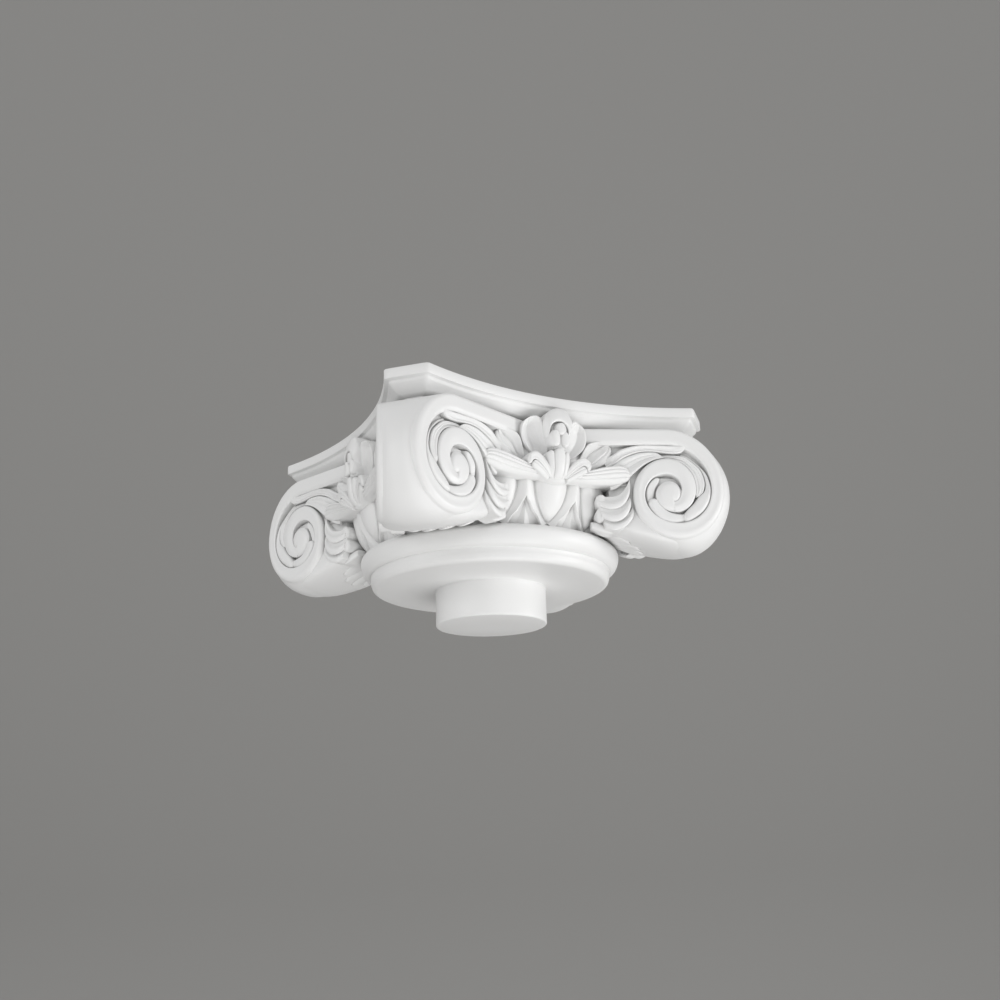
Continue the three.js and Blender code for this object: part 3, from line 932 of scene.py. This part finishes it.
@dataclass
class Foliage:
    """The flower in the middle of a face and the leaves that run from it into the volutes.

    Each ground is how far out, on its plane, the leaves' hidden sides reach down to.
    """

    datum: Datum
    face_ground: float = 120.0
    volute_ground: float = -10.0
    corner_ground: float = -26.0

    def channel(self) -> list[Leaf]:
        """Leaves in the channel of the volute, each tip lapping the next leaf's root."""
        leaf = partial(Leaf, Plane.VOLUTE, ground=self.volute_ground)
        return [
            leaf([(100, 138, -7), (109.4, 141.8, -5), (118.1, 147.3, -4), (128.9, 150.5, -3.5),
                  (139.5, 151.6, -3.2), (158.6, 151.3, -3), (172, 151.2, -3.4), (179, 151.8, -3.2),
                  (183.5, 151.4, -3.4)],
                 [(104, 129, -7), (112, 133, -5.5), (119, 138, -4.5), (127.2, 141.8, -4.5),
                  (135.9, 144.4, -4.5), (147.5, 145.2, -4.2), (164.4, 143.2, -4.2),
                  (174, 143.4, -4), (178.6, 145.6, -3.8), (183.5, 151.4, -3.4)],
                 crown=3.0, square=2.4, cup=1.4, hollow=(0.1, 0.7),
                 furrows=(0.45,), furrow=0.6, steps=60),
            leaf([(104, 129, -8), (111, 133, -6), (118, 137.6, -5), (127.2, 141.5, -4.6),
                  (135.9, 144.2, -4.4), (147.5, 145.0, -4.2), (154, 143.6, -4), (159.9, 139.2, -4)],
                 [(107, 108, -9), (114, 110.5, -7), (121.4, 116.2, -4.5), (129.1, 122.8, -3.4),
                  (138, 130.2, -3), (146.9, 135.3, -3), (153.5, 137.6, -3.4), (159.9, 139.2, -4)],
                 crown=2.4, square=3.2, cup=1.7, hollow=(0.0, 0.78),
                 furrows=(-0.42, 0.1), furrow=0.7, steps=60, across=41),
            leaf([(150, 137.5, -6.5), (159, 141.6, -5.5), (168.4, 141.8, -5), (179, 139.8, -4.2),
                  (186, 134.8, -4), (193.8, 126.7, -3.6), (197.3, 114.6, -3.4),
                  (195.6, 105.5, -3.4), (192, 101, -3.6), (188.3, 99, -4)],
                 [(150, 133.5, -7), (159.7, 137.6, -6), (168.1, 136.3, -5.4), (178.4, 131.8, -5),
                  (185.5, 122.3, -4.6), (187.9, 110.3, -4), (187.4, 103, -4), (188.3, 99, -4)],
                 crown=2.2, square=3.0, cup=0.6, hollow=(0.2, 0.6),
                 furrows=(-0.45, 0.25), furrow=0.9, furrow_width=0.15, steps=64, across=41),
            leaf([(177, 143.5, -7.2), (184, 140.2, -6.7), (192.2, 132.8, -5.8), (199.6, 123, -4.6),
                  (202.6, 112.5, -4), (202.8, 104.5, -3.8), (200.3, 94, -3.6),
                  (194.2, 84.8, -3.6), (184.5, 77.4, -4), (177, 74.4, -4.4), (173, 76, -5.2)],
                 [(176, 141.2, -7.6), (185, 136, -6.8), (194.2, 126.8, -6), (197.8, 114.6, -5.4),
                  (196.2, 106, -5), (190.5, 100, -4.6), (184.9, 93.2, -4.2), (179, 87.6, -4.2),
                  (174.6, 82.2, -4.6), (173, 76, -5.2)],
                 crown=4.4, square=2.1, cup=0.5, hollow=(0.15, 0.6), steps=60),
            leaf([(180, 75.5, -7.7), (172.7, 73.8, -5.6), (163.3, 73.1, -4), (151.4, 77.2, -3.8),
                  (143.8, 85.6, -3.8), (140.9, 92.5, -4.2), (143, 97, -4.6), (148.2, 99, -5.2)],
                 [(181, 86, -8.2), (174.6, 83.4, -6), (168.2, 83.3, -4.6), (160.2, 85.6, -4.2),
                  (154.4, 90.8, -4.2), (151, 96, -4.6), (148.2, 99, -5.2)],
                 crown=4.4, square=2.1, cup=0.5, hollow=(0.1, 0.6), steps=52),
            leaf([(142.5, 90, -7.7), (140.2, 97, -6.2), (140.4, 107, -4.4), (144.6, 114.6, -4.2),
                  (149.9, 118.8, -4.6), (154.3, 118.6, -5.2)],
                 [(147, 92, -8.2), (147.2, 98.5, -6.6), (149.0, 107, -5), (152.4, 113, -4.8),
                  (154.3, 118.6, -5.2)],
                 crown=3.4, square=2.3, cup=0.5, hollow=(0.0, 0.6), steps=40),
        ]

    def corner(self) -> list[Leaf]:
        """Curled lobes and bosses that fill the corner between the eggs and the volute."""
        leaf = partial(Leaf, Plane.VOLUTE, ground=self.corner_ground)
        boss = partial(oval, Plane.VOLUTE, ground=self.corner_ground)
        return [
            leaf([(93, 102, -8), (101, 101.2, -7), (108, 101, -6), (114.4, 102.8, -5.2),
                  (119, 107.2, -4.6), (122.6, 112.6, -4.4), (125.2, 118.6, -4.6)],
                 [(95, 91, -6), (104, 87.6, -3.2), (112.4, 88.6, -2), (119, 93.6, -1.8),
                  (123, 100.5, -2.2), (125, 109, -3.4), (125.2, 118.6, -4.6)],
                 crown=3.2, square=2.1, cup=1.8, hollow=(-0.3, 0.55), steps=48, across=37),
            leaf([(94, 92, -8), (104, 89.6, -6.4), (112, 90.4, -5.6), (118.4, 94.6, -5),
                  (122, 97.4, -4.8), (124, 101, -5)],
                 [(97, 80, -6), (105.2, 75.7, -3.4), (113.8, 76.6, -2.4), (120.3, 81.9, -2.2),
                  (123.8, 88.6, -2.8), (125, 95, -3.8), (124, 101, -5)],
                 crown=3.2, square=2.1, cup=1.6, hollow=(-0.3, 0.5), steps=44, across=33),
            leaf([(97, 82, -9), (106, 78.6, -7.2), (114, 79.2, -6.4), (120.4, 83.4, -6),
                  (124, 86.6, -5.8), (126.2, 91, -5.8)],
                 [(100, 70.5, -7), (107, 67.4, -4.6), (115.4, 69.2, -3.6), (121.8, 74.2, -3.6),
                  (126, 80, -4.2), (127.4, 86, -5), (126.2, 91, -5.8)],
                 crown=3.0, square=2.1, cup=1.4, hollow=(-0.3, 0.5), steps=40, across=33),
            boss((97, 96.5, -7.5), (5.4, 6.6), crown=3.4),
            boss((96.5, 83.5, -8.5), (5.2, 6.6), crown=3.4),
            leaf([(88, 79, -17), (95, 78, -16), (102, 75.5, -15), (108, 73, -14.6),
                  (111, 69.6, -14.6)],
                 [(88, 73, -16.5), (94, 70, -15), (101, 67.2, -14), (107, 66.8, -14.2),
                  (111, 69.6, -14.6)],
                 crown=2.4, square=2.2, steps=32, across=25),
        ]

    def under(self) -> list[Leaf]:
        """Four lobes of a leaf that lies under the horn, from the ring outwards."""
        lobes = []
        for middle, half, tip in ((-24, 8.2, 150), (-8, 8.0, 156), (8, 8.0, 156), (24, 8.2, 150)):
            left, right = (
                [(middle * 0.8 + side * half * 0.8, 110, -3),
                 (middle * 0.94 + side * half * 0.96, 126, -1.2),
                 (middle + side * half, tip - 12, -0.2),
                 (middle + side * half * 0.84, tip - 5, 0.1),
                 (middle + side * half * 0.44, tip - 1, 0.2), (middle, tip, 0.2)]
                for side in (-1, 1)
            )
            lobes.append(Leaf(Plane.WEB, left, right, -5.0, crown=1.9, square=2.0, steps=34))
        return lobes

    def husk(self) -> list[Leaf]:
        """The long ribbed leaf above the eggs, and the two curls beside the calyx."""
        leaf = partial(Leaf, Plane.FACE, ground=self.face_ground)
        return [
            leaf([(3, 115, 141), (12, 117, 143), (21, 118.6, 144.4), (33, 121.6, 145.4),
                  (45, 125.4, 146.4), (57, 128.6, 147.2), (67, 130, 147.4), (74.2, 128.2, 147),
                  (77.8, 121, 146)],
                 [(6, 110.6, 138), (15, 110.2, 138.6), (26, 110.1, 139), (38, 110.2, 139.4),
                  (50, 110.8, 140.2), (62, 112, 142.4), (70, 113.8, 144.4), (75.6, 116, 145.4),
                  (77.8, 121, 146)],
                 crown=4.6, square=2.0, furrows=(-0.62, -0.22, 0.3),
                 furrow=1.1, furrow_width=0.13, steps=64, across=57),
            leaf([(5, 114.5, 143), (11, 121.5, 146.5), (18, 128.6, 148.4), (25, 132, 149.2),
                  (31, 130, 149), (33.8, 124.6, 148.4), (32, 119.6, 148)],
                 [(8, 110.5, 143), (14.5, 116.4, 146.5), (20.5, 121.4, 148.4), (25.3, 124, 149),
                  (28.2, 123, 148.8), (29.6, 120.6, 148.4), (32, 119.6, 148)],
                 crown=2.8, square=2.4, cup=0.8, hollow=(0.2, 0.6), furrows=(-0.35,),
                 furrow=0.7, steps=48),
            leaf([(8, 112.6, 142), (14, 118, 145), (20, 122.6, 146.8), (25.2, 124.4, 147.4),
                  (29.4, 121.6, 147.4)],
                 [(11, 108, 141.5), (18.5, 111.6, 145), (24.5, 114.8, 147), (28.4, 117.6, 147.6),
                  (29.4, 121.6, 147.4)],
                 crown=3.0, square=2.2, furrows=(-0.1,), furrow=0.7, steps=36),
        ]

    def flower_side(self) -> list[Leaf]:
        """The outer petal, the upper petal and the tongue on one side of the flower."""
        leaf = partial(Leaf, Plane.FACE, ground=self.face_ground)
        return [
            leaf([(27, 129, 131), (31, 139, 134.5), (34, 146, 137), (38, 151, 138.5),
                  (46, 154, 139.5), (54, 154.4, 140), (58.4, 152.4, 140.5)],
                 [(34, 123.5, 132), (46, 127.4, 135), (56.6, 134, 137.4), (62, 141.6, 138.6),
                  (62, 148.6, 139.4), (58.4, 152.4, 139.8)],
                 crown=3.0, square=3.6, cup=4.8, hollow=(-0.26, 0.7), lip=0.8,
                 furrows=(-0.3, 0.42), furrow=1.4, furrow_width=0.08, steps=48, across=53),
            leaf([(5, 134, 137), (7, 146, 141), (10, 157, 143), (14, 165, 143.6),
                  (19.5, 169.2, 143.4), (25.5, 168.8, 142.6)],
                 [(15, 131, 132), (26, 138, 135.6), (33, 145.4, 138), (35.2, 154, 139.6),
                  (32.6, 163, 141), (25.5, 168.8, 142.6)],
                 crown=2.2, square=4.4, cup=5.6, hollow=(0.1, 0.84), lip=1.2,
                 furrows=(-0.34, 0.3), furrow=0.7, furrow_width=0.1, steps=48, across=49),
            leaf([(3.0, 107.6, 136), (4.0, 112, 143.4), (4.8, 121, 147.4), (5.2, 129.4, 148.4),
                  (5.8, 133.6, 148.4), (8.4, 136, 148)],
                 [(8.4, 108.6, 134), (10.4, 112.4, 140.6), (11.8, 120.6, 144),
                  (12.2, 128.8, 145.4), (11.4, 133.4, 146.4), (8.4, 136, 148)],
                 crown=3.0, square=2.3, steps=42),
        ]

    def flower_middle(self) -> list[Leaf]:
        """The hood, the bud and the tongue of the calyx on the middle line."""
        leaf = partial(Leaf, Plane.FACE, ground=self.face_ground)
        boss = partial(oval, Plane.FACE, ground=self.face_ground)
        left, right = (
            [(side * 3.6, 107.6, 137), (side * 4.4, 112, 144.4), (side * 5.2, 121, 148.4),
             (side * 5.6, 131, 149.6), (side * 4.4, 136, 149.6), (0, 138.4, 149.2)]
            for side in (-1, 1)
        )
        return [
            leaf([(-12, 148, 143), (-13.6, 154, 145), (-14.6, 161.5, 146.4), (-12.8, 169, 147),
                  (-7, 175.4, 147.2), (1, 178.6, 147.2), (9, 176.4, 147.2), (14.6, 169.6, 147),
                  (16, 161.5, 146.4), (13.8, 154, 145), (12, 148, 143)],
                 [(-9.4, 146, 145), (-9.8, 151, 148), (-9.6, 156.4, 150.4), (-7.4, 160.6, 151.6),
                  (-3.6, 163.2, 152), (0.2, 163.8, 152), (4.2, 162.6, 152), (7.8, 159.6, 151.6),
                  (9.6, 155.0, 150.4), (9.4, 150.6, 148), (9.2, 146, 145)],
                 crown=3.0, square=2.8, steps=72),
            boss((0.0, 142.0, 124.0), (52.0, 26.0), crown=11.0, ground=self.face_ground - 2),
            boss((0.0, 113.0, 136.0), (15.0, 7.0), crown=8.0),
            boss((1.2, 150.0, 144.6), (11.0, 15.6), crown=5.2),
            boss((2.0, 157.0, 146.4), (7.6, 6.6), crown=7.0),
            boss((-4.4, 147.4, 146.4), (6.6, 8.6), crown=7.4),
            boss((6.2, 147.2, 146.2), (5.8, 8.4), crown=6.8),
            leaf(left, right, crown=3.2, square=2.3, steps=42),
        ]

    def build(self) -> list[bpy.types.Object]:
        """Makes the leaves and the flowers of the four faces."""
        groups = {
            "volute_leaves": (self.channel(), []),
            "corner_leaves": (self.corner(), self.under()),
            "husks": (self.husk(), []),
            "flower": (self.flower_side(), self.flower_middle()),
        }
        pieces = []
        for name, (paired, single) in groups.items():
            carving = Carving(name)
            for leaf in paired:
                leaf.carve(carving, self.datum)
            carving.mirror()
            for leaf in single:
                leaf.carve(carving, self.datum)
            pieces += carving.build_four()
        return pieces


def linear(code: str) -> tuple[float, float, float, float]:
    """Turns an sRGB hex colour such as "#eeeeee" into linear red, green, blue and alpha."""
    channels = [int(code[i : i + 2], 16) / 255 for i in (1, 3, 5)]
    light = [c / 12.92 if c <= 0.04045 else ((c + 0.055) / 1.055) ** 2.4 for c in channels]
    return (light[0], light[1], light[2], 1.0)


def add_node(
    tree: bpy.types.NodeTree,
    kind: str,
    settings: dict | None = None,
    links: dict | None = None,
) -> bpy.types.Node:
    """Adds a node to a tree.

    Args:
        tree: The tree.
        kind: The node's class name.
        settings: Values by name or number of an input socket, or by name of the node itself.
        links: Output sockets by the name or number of the input that they feed.

    Returns:
        The node.
    """
    node = tree.nodes.new(kind)
    for key, value in (settings or {}).items():
        if isinstance(key, int) or key in node.inputs:
            node.inputs[key].default_value = value
        else:
            setattr(node, key, value)
    for key, source in (links or {}).items():
        tree.links.new(source, node.inputs[key])
    return node


@dataclass(frozen=True)
class PrimedPolyurethane:
    """Rigid polyurethane moulding with a sprayed white primer.

    It is a soft white with a low, broad sheen. The primer leaves a faint orange peel and a very
    slight clouding. Painted shade greys the colour in the narrow creases between the leaves, where
    little of the sky reaches.

    Attributes:
        name: The material's name.
        white: The primer where it lies thick.
        cloud: The same where it lies a little thinner.
        painted_crease_shade: The painted shade, the grey that the colour turns to deep in the
            creases.
        roughness: Its middle value.
        roughness_spread: How far the clouding moves that, down and up.
        ior: Typical of an acrylic primer.
        cloud_mm: The size of the clouds.
        peel_mm: The spacing of the orange peel, drawn a little coarse so that it shows.
        peel_depth_mm: How deep that is.
        peel_strength: How much of it the light sees.
        crease_mm: How near the walls have to be for the painted shade to start.
        crease_shut: How little of the sky a hollow sees where the painted shade is darkest.
        crease_open: How much it sees where the painted shade ends.
    """

    name: str = "primed_polyurethane"
    white: str = "#eeeeee"
    cloud: str = "#e8e8e7"
    # The grey of the painted shade in the creases, not a colour of the primer.
    painted_crease_shade: str = "#bebebd"
    roughness: float = 0.42
    roughness_spread: Pair = (-0.04, 0.05)
    ior: float = 1.5
    cloud_mm: float = 60.0
    peel_mm: float = 1.1
    peel_depth_mm: float = 0.05
    peel_strength: float = 0.35
    crease_mm: float = 7.0
    crease_shut: float = 0.2
    crease_open: float = 0.72

    # The Mix node's colour sockets go by number, because its sockets share their names.
    MIX_FROM, MIX_TO, MIX_RESULT = 6, 7, 2

    def material(self) -> bpy.types.Material:
        """Makes the material."""
        made = bpy.data.materials.new(self.name)
        made.use_nodes = True
        tree = made.node_tree
        tree.nodes.clear()
        place = add_node(tree, "ShaderNodeTexCoord").outputs["Object"]
        clouds = add_node(tree, "ShaderNodeTexNoise",
                          {"Scale": 1 / (self.cloud_mm * MM), "Detail": 3.0, "Roughness": 0.55},
                          {"Vector": place}).outputs["Fac"]
        peel = add_node(tree, "ShaderNodeTexNoise",
                        {"Scale": 1 / (self.peel_mm * MM), "Detail": 2.0, "Roughness": 0.5},
                        {"Vector": place})
        primer = add_node(tree, "ShaderNodeMix",
                          {"data_type": "RGBA", self.MIX_FROM: linear(self.white),
                           self.MIX_TO: linear(self.cloud)},
                          {"Factor": clouds})
        # Painted shade: the colour greys where ambient occlusion finds walls close by, in the
        # creases between the leaves.
        sky = add_node(tree, "ShaderNodeAmbientOcclusion",
                       {"Distance": self.crease_mm * MM, "samples": 8})
        seen = add_node(tree, "ShaderNodeMapRange",
                        {"From Min": self.crease_shut, "From Max": self.crease_open},
                        {"Value": sky.outputs["AO"]})
        colour = add_node(tree, "ShaderNodeMix",
                          {"data_type": "RGBA", self.MIX_FROM: linear(self.painted_crease_shade)},
                          {"Factor": seen.outputs["Result"],
                           self.MIX_TO: primer.outputs[self.MIX_RESULT]})
        low, high = self.roughness_spread
        sheen = add_node(tree, "ShaderNodeMapRange",
                         {"To Min": self.roughness + low, "To Max": self.roughness + high},
                         {"Value": clouds})
        bump = add_node(tree, "ShaderNodeBump",
                        {"Strength": self.peel_strength, "Distance": self.peel_depth_mm * MM},
                        {"Height": peel.outputs["Fac"]})
        shader = add_node(tree, "ShaderNodeBsdfPrincipled", {"IOR": self.ior},
                          {"Base Color": colour.outputs[self.MIX_RESULT],
                           "Roughness": sheen.outputs["Result"], "Normal": bump.outputs["Normal"]})
        add_node(tree, "ShaderNodeOutputMaterial", links={"Surface": shader.outputs["BSDF"]})
        return made


@dataclass(frozen=True)
class Backdrop:
    """A plain matte paper sweep, the same grey on the floor and behind. Sizes are in metres."""

    name: str = "grey_paper"
    grey: str = "#a3a2a0"
    roughness: float = 0.9
    turn: float = math.radians(-26.9)
    floor: float = -1.25
    near: float = -3.0
    far: float = 3.2
    bend: float = 1.0
    half_width: float = 6.0
    height: float = 4.0

    def build(self) -> None:
        """Makes the sweep."""
        made = bpy.data.materials.new(self.name)
        made.use_nodes = True
        shader = made.node_tree.nodes["Principled BSDF"]
        shader.inputs["Base Color"].default_value = linear(self.grey)
        shader.inputs["Roughness"].default_value = self.roughness
        heart = (self.far - self.bend, self.floor + self.bend)
        line = [(self.near, self.floor), *arc(heart, self.bend, self.bend, -90, 0, 16)]
        line.append((self.far, self.height))
        bm = bmesh.new()
        spin = Matrix.Rotation(self.turn, 4, "Z")
        left, right = ([bm.verts.new(spin @ Vector((x, y, z))) for y, z in line]
                       for x in (-self.half_width, self.half_width))
        for i in range(len(line) - 1):
            bm.faces.new((left[i], right[i], right[i + 1], left[i + 1])).smooth = True
        mesh = bpy.data.meshes.new("sweep")
        bm.to_mesh(mesh)
        bm.free()
        mesh.materials.append(made)
        sweep = bpy.data.objects.new("sweep", mesh)
        bpy.context.scene.collection.objects.link(sweep)


@dataclass(frozen=True)
class Lamp:
    """A soft square lamp, in metres and watts.

    Attributes:
        name: The lamp's name.
        place: Where it stands.
        size: The length of its side.
        watts: Its power.
        aim: What it looks at, as a rule the middle of the capital.
    """

    name: str
    place: Point
    size: float
    watts: float
    aim: Point = (0.0, 0.0, 0.1)

    def build(self) -> None:
        """Makes the lamp."""
        data = bpy.data.lights.new(self.name, "AREA")
        data.size, data.energy = self.size, self.watts
        lamp = bpy.data.objects.new(self.name, data)
        bpy.context.scene.collection.objects.link(lamp)
        lamp.location = self.place
        sight = Vector(self.aim) - Vector(self.place)
        lamp.rotation_euler = sight.to_track_quat("-Z", "Y").to_euler()


@dataclass(frozen=True)
class Studio:
    """The camera, the lamps, the even light of the room and the backdrop.

    Attributes:
        camera_at: Where the camera stands, in metres.
        lens: Its focal length in millimetres.
        yaw: Its heading in degrees, to the left of +Y.
        pitch: How far it looks up, in degrees.
        roll: How far it is tipped about its line of sight, in degrees.
        lamps: A key light on the right, a fill on the left and light off the floor.
        room_light: The strength of the white world.
    """

    camera_at: Point = (-0.52979, -1.04453, -0.23654)
    lens: float = 42.896
    yaw: float = -27.503
    pitch: float = 17.447
    roll: float = -1.864
    lamps: tuple[Lamp, ...] = (
        Lamp("key", (1.9, -1.6, -0.2), size=0.6, watts=19.0),
        Lamp("fill", (-2.3, -0.8, 0.4), size=1.3, watts=10.0),
        Lamp("floor", (0.0, -0.4, -1.2), size=2.0, watts=22.0, aim=(0.0, 0.0, 0.0)),
    )
    room_light: float = 0.64

    def add_camera(self) -> None:
        """Makes the camera and gives it to the scene."""
        data = bpy.data.cameras.new("camera")
        data.lens = self.lens
        data.clip_end = 50.0
        camera = bpy.data.objects.new("camera", data)
        bpy.context.scene.collection.objects.link(camera)
        heading, climb = math.radians(self.yaw), math.radians(self.pitch)
        level = Vector((-math.sin(heading), math.cos(heading), 0.0))
        ahead = level * math.cos(climb) + Vector((0.0, 0.0, math.sin(climb)))
        right = ahead.cross(Vector((0.0, 0.0, 1.0))).normalized()
        up = right.cross(ahead)
        tip = Matrix.Rotation(math.radians(self.roll), 3, -ahead)
        matrix = Matrix((tip @ right, tip @ up, -ahead)).transposed().to_4x4()
        matrix.translation = self.camera_at
        camera.matrix_world = matrix
        bpy.context.scene.camera = camera

    def build(self) -> None:
        """Sets up the camera, the lights and the backdrop."""
        self.add_camera()
        for lamp in self.lamps:
            lamp.build()
        world = bpy.data.worlds.new("studio")
        world.use_nodes = True
        sky = world.node_tree.nodes["Background"]
        sky.inputs["Color"].default_value = (1.0, 1.0, 1.0, 1.0)
        sky.inputs["Strength"].default_value = self.room_light
        bpy.context.scene.world = world
        bpy.context.scene.view_settings.view_transform = "Standard"
        Backdrop().build()


def dress(piece: bpy.types.Object, material: bpy.types.Material) -> None:
    """Gives a piece its finish and ties it to the frame."""
    piece.data.materials.append(material)
    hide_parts(NODE)
    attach(piece, BODY)
    log.info("%s: %d faces", piece.name, len(piece.data.polygons))


def main() -> None:
    """Builds the capital round its frame."""
    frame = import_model()
    Studio().build()
    datum = Datum.from_record(frame["record"])
    finish = PrimedPolyurethane().material()
    pieces = [TurnedBase(datum).build(), Abacus(datum).build()]
    pieces += Horn(datum, Volute(datum)).build()
    pieces += EggBand(datum).build()
    pieces += Foliage(datum).build()
    for piece in pieces:
        dress(piece, finish)


if __name__ == "__main__":
    main()
